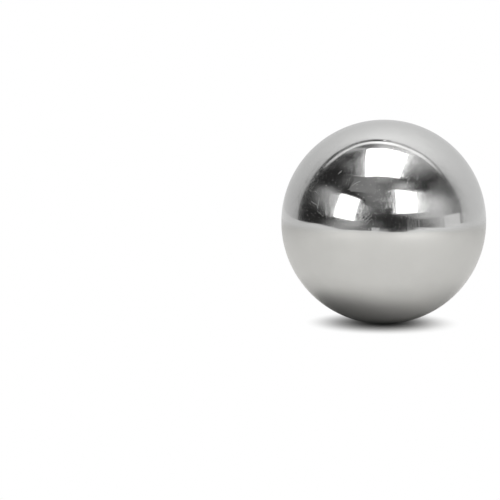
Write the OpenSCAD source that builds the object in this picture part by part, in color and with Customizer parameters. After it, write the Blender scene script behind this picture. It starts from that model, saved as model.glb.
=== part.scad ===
// Hollow stainless-steel ball, polished to a mirror.
// Two half shells are pressed from sheet, butt-welded round the equator, ground flush and polished,
// so the finished ball is one closed piece. Inside, the root of the weld stays as a low bead.
// The origin is the centre of the ball. +Z is the axis of the half shells: the weld lies at Z = 0.

/* [Ball] */
// Outside diameter of the finished ball
ball_d = 150; // [50:1:400]
// Thickness of the sheet that the half shells are pressed from
wall = 0.8; // [0.5:0.1:3]

/* [Weld] */
// Width of the weld's root bead, measured along the inside wall
bead_w = 3; // [2:0.1:6]
// Height of the root bead above the inside wall
bead_h = 0.5; // [0.4:0.05:0.8]

/* [Hidden] */
$fn = 180;

ball_r = ball_d / 2;
inside_r = ball_r - wall;

// The bead's face is an arc through its two edges on the inside wall and its crest at Z = 0
bead_edge_x = sqrt(pow(inside_r, 2) - pow(bead_w / 2, 2));
bead_crest_x = inside_r - bead_h;
bead_rise = bead_edge_x - bead_crest_x;
bead_r = (pow(bead_w / 2, 2) + pow(bead_rise, 2)) / (2 * bead_rise);
bead_centre_x = bead_crest_x + bead_r;

steel = [0.80, 0.80, 0.78];

// Everything that lies on the outward side of the ball's axis
module outward_side() {
    translate([0, -ball_r])
        square([ball_r, ball_d]);
}

// The closed space inside, notched at the equator by the weld's root bead
module cavity_section() {
    difference() {
        circle(r = inside_r);
        translate([bead_centre_x, 0])
            circle(r = bead_r);
    }
}

// Section through the wall, from the lower pole to the upper one
module wall_section() {
    intersection() {
        difference() {
            circle(r = ball_r);
            cavity_section();
        }
        outward_side();
    }
}

// Both half shells and their weld, as the one piece that they are once welded
module ball() {
    color(steel)
        rotate_extrude()
            wall_section();
}

ball();
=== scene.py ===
"""A hollow stainless-steel ball, polished to a mirror, with the studio that it is shown in."""

import math

import bmesh
import bpy
from mathutils import Matrix, Vector, noise


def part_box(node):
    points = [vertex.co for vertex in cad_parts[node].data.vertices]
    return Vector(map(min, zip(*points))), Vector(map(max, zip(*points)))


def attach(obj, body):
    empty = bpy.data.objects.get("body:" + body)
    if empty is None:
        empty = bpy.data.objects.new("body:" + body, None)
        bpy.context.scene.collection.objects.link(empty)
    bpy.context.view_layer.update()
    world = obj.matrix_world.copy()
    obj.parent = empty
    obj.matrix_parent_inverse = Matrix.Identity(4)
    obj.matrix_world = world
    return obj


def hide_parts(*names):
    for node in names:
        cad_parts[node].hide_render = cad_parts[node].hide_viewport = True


bl_info = {
    "name": "Polished Steel Ball",
    "version": (1, 0, 0),
    "blender": (4, 5, 0),
    "location": "View3D > Sidebar > Steel Ball",
    "description": "Makes a hollow ball of polished stainless steel and a plain studio round it",
    "category": "Add Mesh",
}

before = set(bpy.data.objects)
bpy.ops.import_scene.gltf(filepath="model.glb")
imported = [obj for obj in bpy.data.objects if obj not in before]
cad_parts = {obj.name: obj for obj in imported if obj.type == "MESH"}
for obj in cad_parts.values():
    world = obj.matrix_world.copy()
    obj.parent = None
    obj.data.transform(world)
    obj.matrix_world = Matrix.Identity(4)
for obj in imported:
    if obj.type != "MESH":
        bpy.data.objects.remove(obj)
MM = 0.001
CAD_LOW, CAD_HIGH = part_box("ball")
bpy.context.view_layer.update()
BALL_DIAMETER = max(high - low for low, high in zip(CAD_LOW, CAD_HIGH))
UV_MAP = "OFBake"
WHITE = (1, 1, 1, 1)


# ---------------------------------------------------------------- settings


class BallSettings(bpy.types.PropertyGroup):
    """Sizes and colours of the ball."""

    diameter: bpy.props.FloatProperty(
        name="Diameter",
        description="Outside diameter of the ball",
        default=BALL_DIAMETER,
        min=0.02,
        unit="LENGTH",
    )
    meridians: bpy.props.IntProperty(
        name="Meridians",
        description="Number of faces round the ball; it has half as many from pole to pole",
        default=360,
        min=24,
        max=440,
    )
    shell_wave: bpy.props.FloatProperty(
        name="Shell wave",
        description="How far the pressed shells swell in and out of true",
        default=0.06 * MM,
        min=0.0,
        unit="LENGTH",
    )
    shell_wave_length: bpy.props.FloatProperty(
        name="Shell wave length",
        description="Distance from one swell of the shell to the next",
        default=60 * MM,
        min=0.001,
        unit="LENGTH",
    )
    weld_dip: bpy.props.FloatProperty(
        name="Weld dip",
        description="Depth to which the belt over the weld was ground",
        default=0.03 * MM,
        min=0.0,
        unit="LENGTH",
    )
    weld_belt: bpy.props.FloatProperty(
        name="Weld belt",
        description="Half the width of the belt that was ground over the weld",
        default=4.5 * MM,
        min=0.001,
        unit="LENGTH",
    )
    steel: bpy.props.StringProperty(
        name="Steel",
        description="Colour of the polished steel, as an sRGB hex value",
        default="CBCBCA",
    )
    tone_wander: bpy.props.FloatProperty(
        name="Tone wander",
        description="How far the steel's tone wanders to either side",
        default=0.025,
        min=0.0,
        max=0.2,
    )
    mirror_roughness: bpy.props.FloatProperty(
        name="Mirror roughness",
        description="Roughness of the steel between the belt's strokes",
        default=0.04,
        min=0.0,
        max=1.0,
    )
    stroke_roughness: bpy.props.FloatProperty(
        name="Stroke roughness",
        description="Roughness of the steel in the belt's strokes",
        default=0.085,
        min=0.0,
        max=1.0,
    )
    stroke_tilt: bpy.props.FloatProperty(
        name="Stroke tilt",
        description="How steeply the sides of the belt's strokes lean, as rise over run",
        default=1.0,
        min=0.0,
    )
    scratch_roughness: bpy.props.FloatProperty(
        name="Scratch roughness",
        description="Roughness inside a scratch",
        default=0.5,
        min=0.0,
        max=1.0,
    )
    dust: bpy.props.StringProperty(
        name="Dust",
        description="Colour of the dust specks, as an sRGB hex value",
        default="BAB8B4",
    )
    dust_size: bpy.props.FloatProperty(
        name="Dust size",
        description="Width of the largest of the fine specks of dust",
        default=0.35 * MM,
        min=0.0,
        unit="LENGTH",
    )
    dust_spacing: bpy.props.FloatProperty(
        name="Dust spacing",
        description="How far apart the fine specks would be inside a solid",
        default=1.7 * MM,
        min=0.0001,
        unit="LENGTH",
    )


class StudioSettings(bpy.types.PropertyGroup):
    """Sizes, colours and light levels of the studio."""

    table: bpy.props.StringProperty(
        name="Table",
        description="Colour of the table top, as an sRGB hex value",
        default="ECEBE8",
    )
    # Painted shade: the share of the table's colour that is left close round the ball's foot
    painted_foot_shade: bpy.props.FloatProperty(
        name="Foot shade",
        description="How much of the light is left on the table close round the ball's foot",
        default=0.33,
        min=0.0,
        max=1.0,
    )
    table_span: bpy.props.FloatProperty(
        name="Table span",
        description="How far the table runs to the back and to each side",
        default=3.0,
        min=2.0,
        unit="LENGTH",
    )
    lamp_level: bpy.props.FloatProperty(
        name="Lamp level",
        description="Brightness of the softboxes' faces, where 1 is white",
        default=3.8,
        min=0.0,
    )
    room_level: bpy.props.FloatProperty(
        name="Room level",
        description="Brightness of the dark room in front of the table",
        default=0.03,
        min=0.0,
    )
    fill_level: bpy.props.FloatProperty(
        name="Fill level",
        description="Brightness of the soft light that the room throws on the table",
        default=0.62,
        min=0.0,
    )
    screen_level: bpy.props.FloatProperty(
        name="Screen level",
        description="Brightness of the white screen round the back at the table's height",
        default=0.7,
        min=0.0,
    )
    screen_rise: bpy.props.FloatProperty(
        name="Screen rise",
        description="How much brighter the white screen is overhead than at the table's height",
        default=0.6,
        min=0.0,
    )


# ---------------------------------------------------------------- helpers


def linear(hex_colour):
    """An sRGB hex colour such as C0FFEE as linear RGBA."""
    parts = [int(hex_colour[i : i + 2], 16) / 255 for i in (0, 2, 4)]
    steps = [c / 12.92 if c <= 0.04045 else ((c + 0.055) / 1.055) ** 2.4 for c in parts]
    return (*steps, 1.0)


def towards(bearing, height):
    """Unit vector from the ball's centre; bearing 0 is to the front and grows to the right."""
    b, h = math.radians(bearing), math.radians(height)
    return Vector((math.cos(h) * math.sin(b), -math.cos(h) * math.cos(b), math.sin(h)))


def add_node(tree, kind, settings=None, inputs=None):
    """Adds a node: settings are its own properties, and inputs hold a value or a source for a socket."""
    made = tree.nodes.new(kind)
    for name, value in (settings or {}).items():
        setattr(made, name, value)
    for socket, value in (inputs or {}).items():
        if isinstance(value, bpy.types.NodeSocket):
            tree.links.new(value, made.inputs[socket])
        else:
            made.inputs[socket].default_value = value
    return made


def new_material(name):
    """An empty node material."""
    material = bpy.data.materials.new(name)
    material.use_nodes = True
    material.node_tree.nodes.clear()
    return material


def mesh_object(name, shape, smooth=False):
    """Links an object made from a finished bmesh."""
    mesh = bpy.data.meshes.new(name)
    shape.to_mesh(mesh)
    shape.free()
    if smooth:
        mesh.shade_smooth()
    else:
        mesh.shade_flat()
    made = bpy.data.objects.new(name, mesh)
    bpy.context.scene.collection.objects.link(made)
    return made


# ---------------------------------------------------------------- the ball's steel

# The belt's strokes: how far apart and how long they are in millimetres, and their share of the
# lean. The first are as close as the belt's grit, and the others stand out as streaks.
STROKES = ((0.02, 5, 1.0), (1.4, 22, 0.022))
STROKE_MIDDLE = 0.5 * sum(share for _, _, share in STROKES)
# The buff took away each stroke that leans by less than this. It took more in some patches, about
# 25 mm across, than in others: the first lean goes with the low end of the patches' noise.
PATCH_SPACING = 50 * MM
PATCH_NOISE = (0.35, 0.65)
BUFFED_LEAN = (0.061, 0.031)
# How much more it took away at the top of the ball than at the equator, and less at the bottom
EXTRA_LEAN_AT_TOP = 0.025
# The lean left over at which a stroke is at its roughest
ROUGHEST_LEAN = 0.02
# Places where the buff has taken more of the strokes away: bearing and height on the ball, in
# degrees, how far each reaches, in millimetres, and the share of the strokes left in its middle
BUFFED_SPOTS = (
    (-17.3, 19.8, 5.0, 0.0),
    (-13.0, 17.0, 5.0, 0.0),
    (-23.0, 23.0, 8.0, 0.0),
    (12.0, 33.0, 9.0, 0.7),
    (-45.5, 41.5, 9.0, 0.25),
    (-51.0, 31.0, 9.0, 0.7),
    (-1.4, 11.0, 4.0, 0.45),
    (-2.5, 22.0, 6.0, 0.6),
)
# The shares of its reach between which such a place fades out
SPOT_FADE = (0.4, 1.1)
# Scratches and nicks: bearing and height of the middle on the ball, length and width in
# millimetres, and the turn from level, rising to the right, in degrees. Real ones are finer: these
# are as wide as they need to be to show.
SCRATCHES = (
    (-33.3, 32.3, 4.6, 0.4, 51),
    (-43.5, 14.5, 10.5, 0.3, 92),
    (-46.7, 14.0, 7.5, 0.25, -20),
    (-45.8, 20.0, 7.5, 0.2, -28),
    (-1.1, 21.9, 2.6, 0.45, 33),
    (-13.8, 8.0, 8.0, 0.1, 47),
    (-12.7, 6.9, 7.0, 0.08, 44),
    (-12.0, 5.6, 6.0, 0.08, 49),
    (-15.4, 9.4, 6.0, 0.08, 52),
    (-20.5, 26.5, 7.0, 0.12, 28),
    (10.0, 27.5, 5.0, 0.12, 70),
    (16.5, 29.0, 4.0, 0.15, 60),
    (-3.8, 55.6, 2.6, 0.8, 0),
)
# The shares of its length, from its middle, between which a scratch fades out
SCRATCH_FADE = (0.3, 0.5)
# Spacing and width of the few larger specks of dust
LARGE_SPECKS = (6 * MM, 0.5 * MM)
# How far apart the steel's lighter and darker tones are, and the range of the noise that sets them
TONE_SPACING = 20 * MM
TONE_NOISE = (0.3, 0.7)


def belt_strokes(tree, place, split, radius):
    """The strokes from pole to pole that the belt left: how far each leans to one side or the other."""
    level = add_node(
        tree,
        "ShaderNodeCombineXYZ",
        {},
        {"X": split.outputs["X"], "Y": split.outputs["Y"]},
    )
    heading = add_node(tree, "ShaderNodeVectorMath", {"operation": "NORMALIZE"}, {0: level.outputs[0]})
    strokes = 0.0
    for spacing, length, share in STROKES:
        across = add_node(
            tree,
            "ShaderNodeVectorMath",
            {"operation": "SCALE"},
            {0: heading.outputs[0], "Scale": radius / (spacing * MM)},
        )
        along = add_node(
            tree,
            "ShaderNodeVectorMath",
            {"operation": "SCALE"},
            {0: place, "Scale": 1 / (length * MM)},
        )
        stroke_place = add_node(
            tree,
            "ShaderNodeVectorMath",
            {"operation": "MULTIPLY_ADD"},
            {0: along.outputs[0], 1: (0, 0, 1), 2: across.outputs[0]},
        )
        stroke = add_node(
            tree,
            "ShaderNodeTexNoise",
            {},
            {"Vector": stroke_place.outputs[0], "Scale": 1.0, "Detail": 1.0},
        )
        strokes = add_node(
            tree,
            "ShaderNodeMath",
            {"operation": "MULTIPLY_ADD"},
            {0: stroke.outputs["Fac"], 1: share, 2: strokes},
        ).outputs[0]
    return add_node(
        tree,
        "ShaderNodeMath",
        {"operation": "SUBTRACT"},
        {0: strokes, 1: STROKE_MIDDLE},
    ).outputs[0]


def strokes_left(tree, place, split, lean, radius):
    """How steep the strokes still are to either side; 0 where the buff has taken them away."""
    patches = add_node(
        tree,
        "ShaderNodeTexNoise",
        {},
        {"Vector": place, "Scale": 1 / PATCH_SPACING, "Detail": 2.0},
    )
    buffed = add_node(
        tree,
        "ShaderNodeMapRange",
        {},
        {
            "Value": patches.outputs["Fac"],
            "From Min": PATCH_NOISE[0],
            "From Max": PATCH_NOISE[1],
            "To Min": BUFFED_LEAN[0],
            "To Max": BUFFED_LEAN[1],
        },
    )
    buffed_here = add_node(
        tree,
        "ShaderNodeMath",
        {"operation": "MULTIPLY_ADD"},
        {0: split.outputs["Z"], 1: EXTRA_LEAN_AT_TOP / radius, 2: buffed.outputs[0]},
    )
    steep = add_node(tree, "ShaderNodeMath", {"operation": "ABSOLUTE"}, {0: lean})
    over = add_node(
        tree,
        "ShaderNodeMath",
        {"operation": "SUBTRACT"},
        {0: steep.outputs[0], 1: buffed_here.outputs[0]},
    )
    left = add_node(
        tree,
        "ShaderNodeMath",
        {"operation": "MAXIMUM"},
        {0: over.outputs[0], 1: 0.0},
    ).outputs[0]
    for bearing, height, reach, share in BUFFED_SPOTS:
        from_spot = add_node(
            tree,
            "ShaderNodeVectorMath",
            {"operation": "DISTANCE"},
            {0: place, 1: towards(bearing, height) * radius},
        )
        kept = add_node(
            tree,
            "ShaderNodeMapRange",
            {"interpolation_type": "SMOOTHSTEP"},
            {
                "Value": from_spot.outputs["Value"],
                "From Min": reach * SPOT_FADE[0] * MM,
                "From Max": reach * SPOT_FADE[1] * MM,
                "To Min": share,
            },
        )
        left = add_node(
            tree,
            "ShaderNodeMath",
            {"operation": "MULTIPLY"},
            {0: left, 1: kept.outputs[0]},
        ).outputs[0]
    return left


def leant_normal(tree, lean, left, tilt):
    """The skin's normal, turned sideways by the strokes that are left."""
    side = add_node(tree, "ShaderNodeMath", {"operation": "SIGN"}, {0: lean})
    sided = add_node(tree, "ShaderNodeMath", {"operation": "MULTIPLY"}, {0: left, 1: side.outputs[0]})
    turn = add_node(tree, "ShaderNodeMath", {"operation": "MULTIPLY"}, {0: sided.outputs[0], 1: tilt})
    across = add_node(tree, "ShaderNodeTangent", {"direction_type": "RADIAL", "axis": "Z"})
    sideways = add_node(
        tree,
        "ShaderNodeVectorMath",
        {"operation": "SCALE"},
        {0: across.outputs[0], "Scale": turn.outputs[0]},
    )
    skin = add_node(tree, "ShaderNodeNewGeometry")
    leant = add_node(
        tree,
        "ShaderNodeVectorMath",
        {"operation": "ADD"},
        {0: skin.outputs["Normal"], 1: sideways.outputs[0]},
    )
    return add_node(
        tree,
        "ShaderNodeVectorMath",
        {"operation": "NORMALIZE"},
        {0: leant.outputs[0]},
    ).outputs[0]


def scratch_marks(tree, place, radius):
    """1 inside a scratch and 0 beside it; each is a straight thin line that fades towards its ends."""
    scratched = 0.0
    for bearing, height, length, width, turn in SCRATCHES:
        middle = towards(bearing, height)
        east = Vector((0, 0, 1)).cross(middle).normalized()
        north = middle.cross(east)
        angle = math.radians(turn)
        off_line = add_node(
            tree,
            "ShaderNodeVectorMath",
            {"operation": "DOT_PRODUCT"},
            {0: place, 1: north * math.cos(angle) - east * math.sin(angle)},
        )
        gap = add_node(tree, "ShaderNodeMath", {"operation": "ABSOLUTE"}, {0: off_line.outputs["Value"]})
        within = add_node(
            tree,
            "ShaderNodeMath",
            {"operation": "LESS_THAN"},
            {0: gap.outputs[0], 1: width / 2 * MM},
        )
        from_middle = add_node(
            tree,
            "ShaderNodeVectorMath",
            {"operation": "DISTANCE"},
            {0: place, 1: middle * radius},
        )
        depth = add_node(
            tree,
            "ShaderNodeMapRange",
            {},
            {
                "Value": from_middle.outputs["Value"],
                "From Min": length * SCRATCH_FADE[0] * MM,
                "From Max": length * SCRATCH_FADE[1] * MM,
                "To Min": 1.0,
                "To Max": 0.0,
            },
        )
        mark = add_node(
            tree,
            "ShaderNodeMath",
            {"operation": "MULTIPLY"},
            {0: within.outputs[0], 1: depth.outputs[0]},
        )
        scratched = add_node(
            tree,
            "ShaderNodeMath",
            {"operation": "MAXIMUM"},
            {0: scratched, 1: mark.outputs[0]},
        ).outputs[0]
    return scratched


def dust_specks(tree, place, split, settings):
    """1 on a speck of dust and 0 beside it: it has settled on the upper side only.

    Real specks are finer: these are as coarse as they need to be to show.
    """
    dusty = 0.0
    for spacing, largest in ((settings.dust_spacing, settings.dust_size), LARGE_SPECKS):
        scattered = add_node(
            tree,
            "ShaderNodeTexVoronoi",
            {},
            {"Vector": place, "Scale": 1 / spacing},
        )
        speck = add_node(
            tree,
            "ShaderNodeMath",
            {"operation": "LESS_THAN"},
            {0: scattered.outputs["Distance"], 1: largest / 2 / spacing},
        )
        dusty = add_node(
            tree,
            "ShaderNodeMath",
            {"operation": "MAXIMUM"},
            {0: dusty, 1: speck.outputs[0]},
        ).outputs[0]
    upper = add_node(
        tree,
        "ShaderNodeMath",
        {"operation": "GREATER_THAN"},
        {0: split.outputs["Z"], 1: 0.0},
    )
    return add_node(
        tree,
        "ShaderNodeMath",
        {"operation": "MULTIPLY"},
        {0: dusty, 1: upper.outputs[0]},
    ).outputs[0]


def steel_tone(tree, place, settings):
    """The steel's colour: it takes the buff a little unevenly, so its tone wanders a few hundredths."""
    wander = add_node(
        tree,
        "ShaderNodeTexNoise",
        {},
        {"Vector": place, "Scale": 1 / TONE_SPACING, "Detail": 5.0, "Roughness": 0.6},
    )
    tone = add_node(
        tree,
        "ShaderNodeMapRange",
        {},
        {
            "Value": wander.outputs["Fac"],
            "From Min": TONE_NOISE[0],
            "From Max": TONE_NOISE[1],
            "To Min": 1.0 - settings.tone_wander,
            "To Max": 1.0 + settings.tone_wander,
        },
    )
    return add_node(
        tree,
        "ShaderNodeVectorMath",
        {"operation": "SCALE"},
        {0: linear(settings.steel)[:3], "Scale": tone.outputs[0]},
    ).outputs[0]


def mirror_polished_steel(settings):
    """Stainless steel, ground with upright strokes of a fine belt and then buffed to a mirror.

    Between the strokes it is a sharp mirror. What is left of the strokes leans a little to one side
    or the other, so it draws out each bright thing sideways into a pale haze, and hardly upwards.
    """
    material = new_material("mirror_polished_stainless_steel")
    tree = material.node_tree
    radius = settings.diameter / 2
    place = add_node(tree, "ShaderNodeTexCoord").outputs["Object"]
    split = add_node(tree, "ShaderNodeSeparateXYZ", {}, {0: place})
    lean = belt_strokes(tree, place, split, radius)
    left = strokes_left(tree, place, split, lean, radius)
    polish = add_node(
        tree,
        "ShaderNodeMapRange",
        {},
        {
            "Value": left,
            "From Min": 0.0,
            "From Max": ROUGHEST_LEAN,
            "To Min": settings.mirror_roughness,
            "To Max": settings.stroke_roughness,
        },
    )
    roughness = add_node(
        tree,
        "ShaderNodeMix",
        {"data_type": "FLOAT"},
        {
            0: scratch_marks(tree, place, radius),
            2: polish.outputs[0],
            3: settings.scratch_roughness,
        },
    )
    dusty = dust_specks(tree, place, split, settings)
    colour = add_node(
        tree,
        "ShaderNodeMix",
        {"data_type": "RGBA"},
        {0: dusty, 6: steel_tone(tree, place, settings), 7: linear(settings.dust)},
    )
    bare = add_node(tree, "ShaderNodeMath", {"operation": "SUBTRACT"}, {0: 1.0, 1: dusty})
    shader = add_node(
        tree,
        "ShaderNodeBsdfPrincipled",
        {},
        {
            "Base Color": colour.outputs[2],
            "Metallic": bare.outputs[0],
            "Roughness": roughness.outputs[0],
            "Normal": leant_normal(tree, lean, left, settings.stroke_tilt),
        },
    )
    add_node(tree, "ShaderNodeOutputMaterial", {}, {"Surface": shader.outputs[0]})
    return material


# ---------------------------------------------------------------- the table's laminate

# Painted pools of light on the table, drawn into its colour: x and y of the middle and the reach in
# metres, and the gain there
PAINTED_LIGHT_POOLS = ((0.28, -0.45, 0.4, 1.17), (-0.34, -0.34, 0.28, 1.15))
# The painted shade round the ball's foot, a darker table colour in place of a contact shadow, in metres:
# it lies a little to the side away from the right softbox, and goes between these two distances out on
# the table
PAINTED_SHADE_MIDDLE = (-0.014, 0, 0)
PAINTED_SHADE_FADE = (0.015, 0.067)
# Between these distances from the ball's middle, in metres, the top gives way to the even field, for
# the camera and in the polish
FIELD_FADES = {"Is Camera Ray": (0.0745, 0.095), "Is Glossy Ray": (0.5, 1.1)}
# In the polish the field is brighter in front, before the lamps, than further back: two places from
# front to back, in metres, and its brightness there
FIELD_RANGE = (-0.9, 0.2)
FIELD_LEVELS = (1.05, 0.8)


def matt_white_laminate(settings):
    """A matt white laminate top, pale, with a painted shade round the ball's foot and painted pools of
    light in its colour; it keeps the ball's own soft shadow too.

    Away from the ball it gives way to a white field that glows, as a sweep that climbs behind it would.
    """
    material = new_material("matt_white_laminate")
    tree = material.node_tree
    place = add_node(tree, "ShaderNodeTexCoord").outputs["Object"]
    # Close round the foot of the ball a painted shade darkens the top's colour, in place of a deeper
    # contact shadow
    from_painted_shade = add_node(
        tree,
        "ShaderNodeVectorMath",
        {"operation": "DISTANCE"},
        {0: place, 1: PAINTED_SHADE_MIDDLE},
    )
    lit = add_node(
        tree,
        "ShaderNodeMapRange",
        {"interpolation_type": "SMOOTHSTEP"},
        {
            "Value": from_painted_shade.outputs["Value"],
            "From Min": math.hypot(CAD_LOW[2], PAINTED_SHADE_FADE[0]),
            "From Max": math.hypot(CAD_LOW[2], PAINTED_SHADE_FADE[1]),
            "To Min": settings.painted_foot_shade,
            "To Max": 1.0,
        },
    ).outputs[0]
    # Painted light: the pool that each side softbox would throw on the top is drawn into its colour,
    # each on its own side
    for x, y, reach, gain in PAINTED_LIGHT_POOLS:
        from_painted_pool = add_node(
            tree,
            "ShaderNodeVectorMath",
            {"operation": "DISTANCE"},
            {0: place, 1: (x, y, 0)},
        )
        painted_pool = add_node(
            tree,
            "ShaderNodeMapRange",
            {"interpolation_type": "SMOOTHSTEP"},
            {"Value": from_painted_pool.outputs["Value"], "From Max": reach, "To Min": gain, "To Max": 1.0},
        )
        lit = add_node(
            tree,
            "ShaderNodeMath",
            {"operation": "MULTIPLY"},
            {0: lit, 1: painted_pool.outputs[0]},
        ).outputs[0]
    # The table's colour, with the painted shade and the painted pools of light in it
    tint = add_node(
        tree,
        "ShaderNodeVectorMath",
        {"operation": "SCALE"},
        {0: linear(settings.table)[:3], "Scale": lit},
    )
    top = add_node(tree, "ShaderNodeBsdfDiffuse", {}, {"Color": tint.outputs[0]})

    path = add_node(tree, "ShaderNodeLightPath")
    split = add_node(tree, "ShaderNodeSeparateXYZ", {}, {0: place})
    field_level = add_node(
        tree,
        "ShaderNodeMapRange",
        {},
        {
            "Value": split.outputs["Y"],
            "From Min": FIELD_RANGE[0],
            "From Max": FIELD_RANGE[1],
            "To Min": FIELD_LEVELS[0],
            "To Max": FIELD_LEVELS[1],
        },
    )
    seen_level = add_node(
        tree,
        "ShaderNodeMix",
        {"data_type": "FLOAT"},
        {0: path.outputs["Is Camera Ray"], 2: field_level.outputs[0], 3: 1.0},
    )
    field = add_node(
        tree,
        "ShaderNodeEmission",
        {},
        {"Color": WHITE, "Strength": seen_level.outputs[0]},
    )
    away = add_node(tree, "ShaderNodeVectorMath", {"operation": "LENGTH"}, {0: place})
    shares = []
    for ray, (near, far) in FIELD_FADES.items():
        fade = add_node(
            tree,
            "ShaderNodeMapRange",
            {"interpolation_type": "SMOOTHSTEP"},
            {"Value": away.outputs["Value"], "From Min": near, "From Max": far},
        )
        share = add_node(
            tree,
            "ShaderNodeMath",
            {"operation": "MULTIPLY"},
            {0: fade.outputs[0], 1: path.outputs[ray]},
        )
        shares.append(share.outputs[0])
    field_share = add_node(
        tree,
        "ShaderNodeMath",
        {"operation": "ADD"},
        {0: shares[0], 1: shares[1]},
    )
    mixed = add_node(
        tree,
        "ShaderNodeMixShader",
        {},
        {0: field_share.outputs[0], 1: top.outputs[0], 2: field.outputs[0]},
    )
    add_node(tree, "ShaderNodeOutputMaterial", {}, {"Surface": mixed.outputs[0]})
    return material


# ---------------------------------------------------------------- ball

# Where in the noise the shells' swells and the ground belt's unevenness start
SWELL_START = Vector((3.1, 7.7, 1.9))
GRINDING_START = Vector((11.3, 2.9, 5.3))
# How far apart the deeper places of the ground belt are, and the share by which its depth differs
GRINDING_LENGTH = 9 * MM
GRINDING_SHARE = 0.8


def shell_offset(direction, settings):
    """How far the skin stands out of a true ball in this direction."""
    place = direction * settings.diameter / 2
    swell = noise.noise(place / settings.shell_wave_length + SWELL_START)
    ground = noise.noise(place / GRINDING_LENGTH + GRINDING_START)
    belt = math.exp(-((place.z / settings.weld_belt) ** 2))
    return settings.shell_wave * swell - settings.weld_dip * belt * (1 + GRINDING_SHARE * ground)


def make_ball(settings):
    """The skin of the welded, ground and polished ball."""
    skin = bmesh.new()
    skin.loops.layers.uv.new(UV_MAP)
    # It is turned so that the seam of its map lies at the back
    bmesh.ops.create_uvsphere(
        skin,
        u_segments=settings.meridians,
        v_segments=settings.meridians // 2,
        radius=settings.diameter / 2,
        matrix=Matrix.Rotation(math.radians(-90), 4, "Z"),
        calc_uvs=True,
    )
    for corner in skin.verts:
        direction = corner.co.normalized()
        corner.co += direction * shell_offset(direction, settings)
    bmesh.ops.recalc_face_normals(skin, faces=skin.faces)
    ball = mesh_object("polished_ball", skin, smooth=True)
    ball.data.materials.append(mirror_polished_steel(settings))
    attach(ball, "root")
    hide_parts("ball")


class MESH_OT_polished_ball(bpy.types.Operator):
    """Makes the polished steel ball"""

    bl_idname = "mesh.polished_ball"
    bl_label = "Polished Ball"
    bl_options = {"REGISTER", "UNDO"}

    def execute(self, context):
        make_ball(context.scene.steel_ball)
        return {"FINISHED"}


# ---------------------------------------------------------------- studio

# Each softbox: bearing from the front and height above the ball's centre in degrees, distance,
# width and height in metres, how far it is turned, tipped and leant out of facing the ball in
# degrees, and how bright its face is beside the others.
SOFTBOXES = {
    "overhead_softbox": (2.2, 73.5, 1.25, 0.828, 0.794, (76.9, -9.3, 0.2), 0.93),
    "left_softbox": (-46.4, 18.8, 1.05, 0.452, 0.445, (-7.2, 8.0, 0.0), 0.9),
    "right_softbox": (24.1, 25.65, 1.05, 0.488, 0.435, (-7.3, 0.8, -31.0), 1.0),
}

# Things in front of the table and at its edge, each a glowing card in place of a lit thing: bearing and
# height of the middle in degrees, distance, width and height in metres, lean in degrees, and the glow of
# the left and the right end
ROOM_CARDS = {
    "white_card": (76.5, 1.8, 1.5, 0.62, 0.3, 0.0, 0.93, 0.98),
    "grey_case": (31.8, 1.0, 2.4, 0.875, 0.5, 0.0, 0.2, 0.24),
    "grey_case_end": (37.9, 1.0, 2.38, 0.19, 0.5, 0.0, 0.13, 0.18),
    "light_stand": (33.2, 1.5, 2.35, 0.045, 0.5, 0.0, 0.02, 0.02),
    # Painted highlight: a thin glowing card along the light stand's lit edge
    "light_stand_highlight": (34.6, 1.5, 2.34, 0.06, 0.5, 0.0, 0.42, 0.42),
    "right_panel": (57.5, 1.2, 2.2, 0.48, 0.45, 0.0, 0.46, 0.58),
    "bright_pole": (60.3, 5.0, 2.1, 0.05, 0.6, 0.0, 0.78, 0.78),
    "ceiling_board": (-33.0, 47.7, 2.73, 1.2, 1.35, 0.0, 0.26, 0.35),
    "left_softbox_side": (-46.0, 32.6, 1.6, 1.0, 0.18, -22.0, 0.05, 0.05),
    "white_paper": (-12.3, -3.7, 1.0, 0.145, 0.09, 0.0, 1.0, 1.0),
    "grey_clamp": (-3.5, -3.9, 1.1, 0.15, 0.05, 0.0, 0.4, 0.32),
}

# The table's front edge from left to right, in metres: it has a tongue that juts out, and a second
# table stands against it on the right and comes further forward.
TABLE_FRONT = (
    (-1.25, -0.70),
    (-0.78, -0.72),
    (-0.52, -0.84),
    (-0.31, -0.88),
    (-0.14, -0.96),
    (0.0, -0.885),
    (0.24, -0.79),
    (0.32, -0.86),
    (0.43, -1.03),
    (0.56, -1.06),
    (0.78, -1.20),
    (1.25, -2.00),
    (1.62, -1.80),
    (1.40, -1.10),
    (1.33, -0.77),
    (1.42, -0.65),
)
# How far forward the table comes at its far right end
TABLE_RIGHT_END = -0.2

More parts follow.
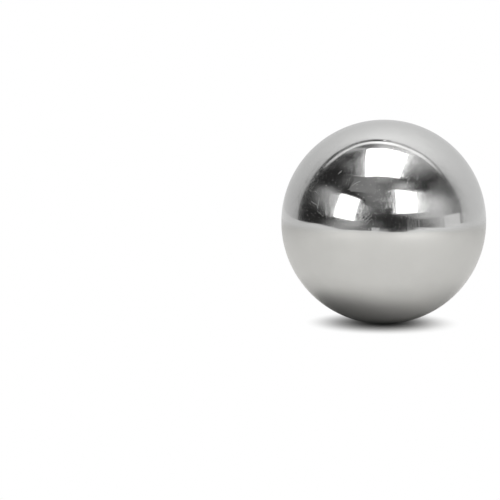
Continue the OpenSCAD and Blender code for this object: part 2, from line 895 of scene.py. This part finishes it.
# Soft light in the room in front of the table, as the polish shows it: bearing and height of its
# middle, how far it spreads sideways and up from there, all in degrees, and its brightness.
ROOM_GLOWS = {
    "wall lit by the right softbox": (60.0, 12.0, 42.0, 24.0, 0.72),
    "wall beside the right softbox": (53.0, 23.5, 32.0, 15.5, 0.46),
    "wall over the right softbox": (73.0, 34.0, 17.0, 9.0, 0.19),
    "wall under the right softbox": (37.0, 10.0, 20.0, 4.5, 0.35),
    "ceiling over the right softbox": (24.0, 43.5, 16.5, 8.0, 0.78),
    "wall lit by the left softbox": (-78.0, 23.0, 26.0, 15.0, 0.42),
    "wall over the left softbox": (-77.0, 29.5, 19.0, 6.2, 0.32),
    "wall under the left softbox": (-34.0, 5.0, 16.0, 8.0, 0.36),
    "floor under the left softbox": (-46.0, 0.0, 36.0, 11.0, 0.5),
    "floor before the table": (-12.5, 1.5, 13.0, 9.0, 0.13),
    "wall close under the right softbox": (21.0, 13.3, 11.0, 3.5, 0.4),
    "wall between the softboxes": (-13.0, 36.5, 34.0, 34.0, 0.27),
    "wall right of the left softbox": (-24.0, 17.0, 12.0, 10.0, 0.28),
    "ceiling beside the board": (-60.0, 46.0, 13.0, 14.0, 0.11),
    "ceiling before the overhead softbox": (-6.0, 53.5, 26.0, 7.0, 0.3),
    "ceiling left of the overhead softbox": (-80.0, 58.0, 16.5, 9.0, 0.18),
    "ceiling inside the screen's lip": (-122.0, 64.0, 5.0, 14.0, 0.4),
    "ceiling on the right": (75.0, 62.5, 36.0, 24.0, 0.54),
    "ceiling on the left": (-70.0, 68.0, 18.0, 14.0, 0.17),
    "gap before the screen's head": (150.0, 71.0, 10.0, 7.0, 0.42),
    "ceiling at the screen's head": (170.0, 84.0, 16.0, 14.0, 0.84),
    "ceiling right of the screen's head": (110.0, 74.0, 10.0, 7.0, 0.35),
}

# The left edge, the head and the right edge of the white screen: each is a plane through the ball,
# and this points to the screen's side of it
SCREEN_EDGES = ((0.466, 1.0, 0.0), (0.27, 1.0, -0.31), (-0.06, 1.0, 0.0))
# The screen's head ends in a rounded lip, which climbs by this much to the left
LIP_CLIMB = -0.043
# It also bows in and out by this much, in one wave per unit of the direction's x, which goes to the
# left from the middle to the end
LIP_BOW = 0.017
LIP_BOW_MIDDLE = 0.04
LIP_BOW_END = -0.56
# How much wider the gap between the lip and the screen is to the left
GAP_TAPER = 0.03
# How steeply the screen grows brighter with height
SCREEN_RISE_POWER = 3.0
# Each ramp: what it goes by, where that starts and ends, the ramp's value at each, and its kind
SCREEN_RAMPS = {
    "between sides": ("sides", -0.03, 0.07, 0.0, 1.0, "SMOOTHSTEP"),
    "below head": ("gap", 0.025, 0.08, 0.0, 1.0, "SMOOTHSTEP"),
    "side falloff": ("sides", 0.0, 0.35, 0.93, 1.0, "LINEAR"),
    "right gain": ("x", -1.0, 1.0, 0.93, 1.12, "LINEAR"),
    "lip outside": ("lip", -0.097, -0.057, 0.0, 1.0, "SMOOTHSTEP"),
    "lip inside": ("lip", -0.025, 0.0, 1.0, 0.0, "SMOOTHSTEP"),
    "lip light": ("z", 0.62, 0.97, 0.65, 1.7, "LINEAR"),
    "lip foot": ("z", 0.6, 0.65, 0.0, 1.0, "LINEAR"),
    "lip side": ("sides", -0.06, 0.0, 0.0, 1.0, "LINEAR"),
}
# How bright the screen's side of the room is for the table, beside the room's own side
SCREEN_FILL_SHARE = 0.35

# The camera's place in metres, how far it looks down in degrees, and its lens and sensor in millimetres
CAMERA_PLACE = (-0.0980, -1.2404, 0.1198)
CAMERA_PITCH = 6.467
CAMERA_LENS = 121.98
SENSOR_WIDTH = 36.0


def make_table(settings):
    """A flat top under the ball, which ends in front as a real table does."""
    top = bmesh.new()
    span = settings.table_span
    back = [(span, TABLE_RIGHT_END), (span, span), (-span, span), (-span, TABLE_FRONT[0][1])]
    corners = [top.verts.new((x, y, CAD_LOW[2])) for x, y in (*back, *TABLE_FRONT)]
    rim = [top.edges.new((start, end)) for start, end in zip(corners, corners[1:] + corners[:1])]
    bmesh.ops.triangle_fill(top, edges=rim, use_beauty=True, normal=(0, 0, 1))
    table = mesh_object("table_top", top)
    table.data.materials.append(matt_white_laminate(settings))


def make_softboxes(settings):
    """Square lamps with an even face, seen in the polish but not by the camera."""
    for name, (bearing, height, distance, wide, high, turns, share) in SOFTBOXES.items():
        lamp = bpy.data.lights.new(name, "AREA")
        lamp.shape = "RECTANGLE"
        lamp.size = wide
        lamp.size_y = high
        lamp.energy = settings.lamp_level * share * wide * high * math.pi
        box = bpy.data.objects.new(name, lamp)
        bpy.context.scene.collection.objects.link(box)
        direction = towards(bearing, height)
        box.location = direction * distance
        box.rotation_euler = direction.to_track_quat("Z", "Y").to_euler()
        for axis, angle in zip("ZXY", turns):
            box.rotation_euler.rotate_axis(axis, math.radians(angle))
        box.visible_camera = False


def glowing_board(name, left_glow, right_glow):
    """A glowing card in place of a matt board or case lit by the room: its glow goes evenly from its
    left end to its right.
    """
    material = new_material(name)
    tree = material.node_tree
    place = add_node(tree, "ShaderNodeTexCoord").outputs["UV"]
    split = add_node(tree, "ShaderNodeSeparateXYZ", {}, {0: place})
    tone = add_node(
        tree,
        "ShaderNodeMapRange",
        {},
        {"Value": split.outputs["X"], "To Min": left_glow, "To Max": right_glow},
    )
    glow = add_node(tree, "ShaderNodeEmission", {}, {"Color": WHITE, "Strength": tone.outputs[0]})
    add_node(tree, "ShaderNodeOutputMaterial", {}, {"Surface": glow.outputs[0]})
    return material


def make_room_cards():
    """Boards, a case and a lamp's stand in front of the table, each a flat glowing card facing the ball.
    """
    for name, row in ROOM_CARDS.items():
        bearing, height, distance, wide, high, lean, left_glow, right_glow = row
        sheet = bmesh.new()
        sheet.loops.layers.uv.new(UV_MAP)
        bmesh.ops.create_grid(sheet, x_segments=1, y_segments=1, size=0.5, calc_uvs=True)
        bmesh.ops.scale(sheet, verts=sheet.verts, vec=(wide, high, 1))
        upright = Matrix.Rotation(math.radians(90), 4, "X")
        turned = Matrix.Rotation(math.radians(bearing), 4, "Z")
        leaning = Matrix.Rotation(math.radians(lean), 4, "Z")
        bmesh.ops.transform(sheet, verts=sheet.verts, matrix=turned @ upright @ leaning)
        bmesh.ops.translate(sheet, verts=sheet.verts, vec=towards(bearing, height) * distance)
        card = mesh_object(name, sheet)
        card.data.materials.append(glowing_board(name, left_glow, right_glow))
        card.visible_camera = False
        card.visible_diffuse = False
        card.visible_shadow = False


def glow_light(tree, look, spot):
    """A soft patch of light round one direction."""
    bearing, height, wide, tall, brightness = spot
    off = add_node(
        tree,
        "ShaderNodeMapping",
        {"vector_type": "TEXTURE"},
        {
            "Vector": look,
            "Location": towards(bearing, height),
            "Rotation": (math.radians(-height), 0, math.radians(bearing)),
            "Scale": (math.sin(math.radians(wide)), 1, math.sin(math.radians(tall))),
        },
    )
    reach = add_node(tree, "ShaderNodeVectorMath", {"operation": "LENGTH"}, {0: off.outputs[0]})
    glow = add_node(
        tree,
        "ShaderNodeMapRange",
        {"interpolation_type": "SMOOTHSTEP"},
        {"Value": reach.outputs["Value"], "To Min": brightness, "To Max": 0.0},
    )
    return glow.outputs[0]


def screen_places(tree, look):
    """What the screen's ramps go by: how far a direction lies inside the sides, the lip and the gap."""
    inside = []
    for edge in SCREEN_EDGES:
        product = add_node(
            tree,
            "ShaderNodeVectorMath",
            {"operation": "DOT_PRODUCT"},
            {0: look, 1: Vector(edge).normalized()},
        )
        inside.append(product.outputs["Value"])
    left_side, head, right_side = inside
    sides = add_node(tree, "ShaderNodeMath", {"operation": "MINIMUM"}, {0: left_side, 1: right_side})
    split = add_node(tree, "ShaderNodeSeparateXYZ", {}, {0: look})

    bow_place = add_node(
        tree,
        "ShaderNodeMath",
        {"operation": "MAXIMUM"},
        {0: split.outputs["X"], 1: LIP_BOW_END},
    )
    bow_turn = add_node(
        tree,
        "ShaderNodeMath",
        {"operation": "MULTIPLY_ADD"},
        {0: bow_place.outputs[0], 1: 2 * math.pi, 2: -2 * math.pi * LIP_BOW_MIDDLE},
    )
    bow = add_node(tree, "ShaderNodeMath", {"operation": "SINE"}, {0: bow_turn.outputs[0]})
    bowed = add_node(
        tree,
        "ShaderNodeMath",
        {"operation": "MULTIPLY_ADD"},
        {0: bow.outputs[0], 1: LIP_BOW, 2: head},
    )
    lip = add_node(
        tree,
        "ShaderNodeMath",
        {"operation": "MULTIPLY_ADD"},
        {0: split.outputs["X"], 1: LIP_CLIMB, 2: bowed.outputs[0]},
    )
    gap = add_node(
        tree,
        "ShaderNodeMath",
        {"operation": "MULTIPLY_ADD"},
        {0: split.outputs["X"], 1: GAP_TAPER, 2: lip.outputs[0]},
    )
    return {
        "sides": sides.outputs[0],
        "lip": lip.outputs[0],
        "gap": gap.outputs[0],
        "x": split.outputs["X"],
        "z": split.outputs["Z"],
    }


def screen_ramps(tree, places):
    """The ramps that bound the screen and its lip and set their light, by name."""
    ramps = {}
    for name, (source, low, high, start, end, kind) in SCREEN_RAMPS.items():
        ramps[name] = add_node(
            tree,
            "ShaderNodeMapRange",
            {"interpolation_type": kind},
            {
                "Value": places[source],
                "From Min": low,
                "From Max": high,
                "To Min": start,
                "To Max": end,
            },
        ).outputs[0]
    return ramps


def screen_light(tree, height, ramps, settings):
    """The screen's brightness, which grows with height and to the right and falls off at the sides."""
    above = add_node(tree, "ShaderNodeMath", {"operation": "MAXIMUM"}, {0: height, 1: 0.0})
    rise = add_node(
        tree,
        "ShaderNodeMath",
        {"operation": "POWER"},
        {0: above.outputs[0], 1: SCREEN_RISE_POWER},
    )
    light = add_node(
        tree,
        "ShaderNodeMapRange",
        {},
        {
            "Value": rise.outputs[0],
            "To Min": settings.screen_level,
            "To Max": settings.screen_level + settings.screen_rise,
        },
    ).outputs[0]
    for name in ("side falloff", "right gain"):
        light = add_node(
            tree,
            "ShaderNodeMath",
            {"operation": "MULTIPLY"},
            {0: light, 1: ramps[name]},
        ).outputs[0]
    return light


def room_light(tree, look, ramps, settings):
    """The dark room's light: the lip that the overhead softbox lights, and the glows on its walls."""
    room = ramps["lip side"]
    for name in ("lip outside", "lip inside", "lip light", "lip foot"):
        room = add_node(
            tree,
            "ShaderNodeMath",
            {"operation": "MULTIPLY"},
            {0: room, 1: ramps[name]},
        ).outputs[0]
    for spot in ROOM_GLOWS.values():
        room = add_node(
            tree,
            "ShaderNodeMath",
            {"operation": "ADD"},
            {0: room, 1: glow_light(tree, look, spot)},
        ).outputs[0]
    return add_node(
        tree,
        "ShaderNodeMath",
        {"operation": "ADD"},
        {0: room, 1: settings.room_level},
    ).outputs[0]


def make_world(settings):
    """White to the camera; to the polish, a white screen round the back and a dark room in front."""
    world = bpy.data.worlds.new("studio")
    world.use_nodes = True
    tree = world.node_tree
    tree.nodes.clear()
    look = add_node(tree, "ShaderNodeTexCoord").outputs["Generated"]
    places = screen_places(tree, look)
    ramps = screen_ramps(tree, places)
    on_screen = add_node(
        tree,
        "ShaderNodeMath",
        {"operation": "MULTIPLY"},
        {0: ramps["between sides"], 1: ramps["below head"]},
    )
    studio_light = add_node(
        tree,
        "ShaderNodeMix",
        {"data_type": "FLOAT"},
        {
            0: on_screen.outputs[0],
            2: room_light(tree, look, ramps, settings),
            3: screen_light(tree, places["z"], ramps, settings),
        },
    )
    # The table is lit from the room's side, so that its shadow falls back and stays deep
    table_light = add_node(
        tree,
        "ShaderNodeMapRange",
        {},
        {
            "Value": on_screen.outputs[0],
            "To Min": settings.fill_level,
            "To Max": settings.fill_level * SCREEN_FILL_SHARE,
        },
    )
    path = add_node(tree, "ShaderNodeLightPath")
    strength = studio_light.outputs[0]
    for ray, level in (("Is Diffuse Ray", table_light.outputs[0]), ("Is Camera Ray", 1.0)):
        strength = add_node(
            tree,
            "ShaderNodeMix",
            {"data_type": "FLOAT"},
            {0: path.outputs[ray], 2: strength, 3: level},
        ).outputs[0]
    background = add_node(tree, "ShaderNodeBackground", {}, {"Color": WHITE, "Strength": strength})
    add_node(tree, "ShaderNodeOutputWorld", {}, {"Surface": background.outputs[0]})
    bpy.context.scene.world = world


def make_camera():
    """A long lens a little above the ball, aimed past it to its left."""
    lens = bpy.data.cameras.new("camera")
    lens.lens = CAMERA_LENS
    lens.sensor_width = SENSOR_WIDTH
    camera = bpy.data.objects.new("camera", lens)
    bpy.context.scene.collection.objects.link(camera)
    camera.location = CAMERA_PLACE
    camera.rotation_euler = (math.radians(90 - CAMERA_PITCH), 0, 0)
    bpy.context.scene.camera = camera


class SCENE_OT_ball_studio(bpy.types.Operator):
    """Makes the table, the softboxes, the light round them and the camera"""

    bl_idname = "scene.ball_studio"
    bl_label = "Ball Studio"
    bl_options = {"REGISTER", "UNDO"}

    def execute(self, context):
        settings = context.scene.ball_studio
        make_table(settings)
        make_softboxes(settings)
        make_room_cards()
        make_world(settings)
        make_camera()
        context.scene.view_settings.view_transform = "Standard"
        return {"FINISHED"}


# ---------------------------------------------------------------- panel and registration


class VIEW3D_PT_steel_ball(bpy.types.Panel):
    """Lists the ball's and the studio's settings and operators"""

    bl_label = "Steel Ball"
    bl_space_type = "VIEW_3D"
    bl_region_type = "UI"
    bl_category = "Steel Ball"

    def draw(self, context):
        for settings, operator in (
            (context.scene.steel_ball, MESH_OT_polished_ball),
            (context.scene.ball_studio, SCENE_OT_ball_studio),
        ):
            box = self.layout.box()
            for name in settings.__annotations__:
                box.prop(settings, name)
            box.operator(operator.bl_idname)


CLASSES = (
    BallSettings,
    StudioSettings,
    MESH_OT_polished_ball,
    SCENE_OT_ball_studio,
    VIEW3D_PT_steel_ball,
)


def register():
    for cls in CLASSES:
        bpy.utils.register_class(cls)
    bpy.types.Scene.steel_ball = bpy.props.PointerProperty(type=BallSettings)
    bpy.types.Scene.ball_studio = bpy.props.PointerProperty(type=StudioSettings)


def unregister():
    del bpy.types.Scene.ball_studio
    del bpy.types.Scene.steel_ball
    for cls in reversed(CLASSES):
        bpy.utils.unregister_class(cls)


def main():
    register()
    bpy.ops.scene.ball_studio()
    bpy.ops.mesh.polished_ball()


if __name__ == "__main__":
    main()
